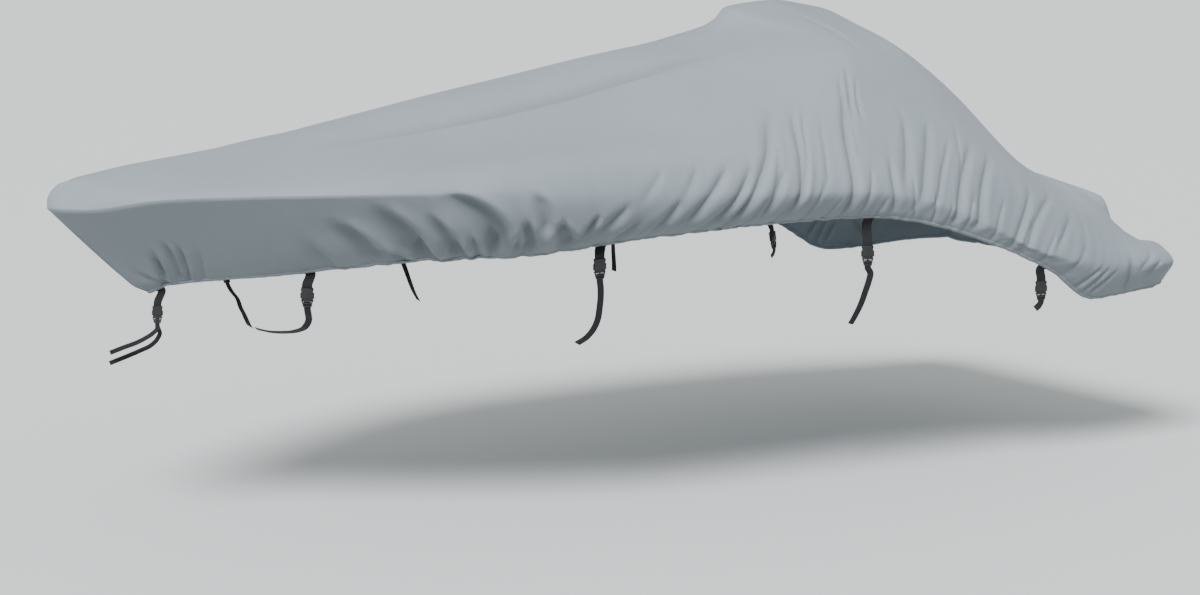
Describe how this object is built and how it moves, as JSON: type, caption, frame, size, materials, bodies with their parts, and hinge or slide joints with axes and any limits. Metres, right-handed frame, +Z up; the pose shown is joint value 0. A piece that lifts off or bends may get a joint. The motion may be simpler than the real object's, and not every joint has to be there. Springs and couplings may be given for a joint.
{
  "type": "boat cover",
  "caption": "Fitted cloth cover for a runabout boat, draped over a raised hump, with an elastic hem and webbing straps hanging from it.",
  "frame": {"origin": "underside of the cover's highest point on the centre plane, where the cover rests on the boat it hides", "axes": "+X aft towards the stern, +Y to starboard, +Z up; the bow's nose points along -X"},
  "size_m": [5.5969, 2.4182, 1.5028],
  "materials": {
    "cover_cloth": "matte grey-blue coated polyester canvas, fine plain weave",
    "strap_webbing": "black polypropylene webbing, flat ribbed weave",
    "buckle_plastic": "black moulded acetal, satin"
  },
  "bodies": {
    "root": {"cover_body": "cover_cloth", "webbing_bow": "strap_webbing", "buckle_bow": "buckle_plastic", "tail_bow_1": "strap_webbing", "tail_bow_2": "strap_webbing", "webbing_fore_port": "strap_webbing", "buckle_fore_port": "buckle_plastic", "tail_fore_port": "strap_webbing", "webbing_fore_starboard": "strap_webbing", "buckle_fore_starboard": "buckle_plastic", "tail_fore_starboard": "strap_webbing", "webbing_mid_port": "strap_webbing", "buckle_mid_port": "buckle_plastic", "tail_mid_port": "strap_webbing", "webbing_mid_starboard": "strap_webbing", "buckle_mid_starboard": "buckle_plastic", "tail_mid_starboard": "strap_webbing", "webbing_waist_port": "strap_webbing", "buckle_waist_port": "buckle_plastic", "tail_waist_port": "strap_webbing", "webbing_waist_starboard": "strap_webbing", "buckle_waist_starboard": "buckle_plastic", "tail_waist_starboard": "strap_webbing", "webbing_quarter_port": "strap_webbing", "buckle_quarter_port": "buckle_plastic", "tail_quarter_port": "strap_webbing", "webbing_quarter_starboard": "strap_webbing", "buckle_quarter_starboard": "buckle_plastic", "tail_quarter_starboard": "strap_webbing"}
  },
  "joints": []
}
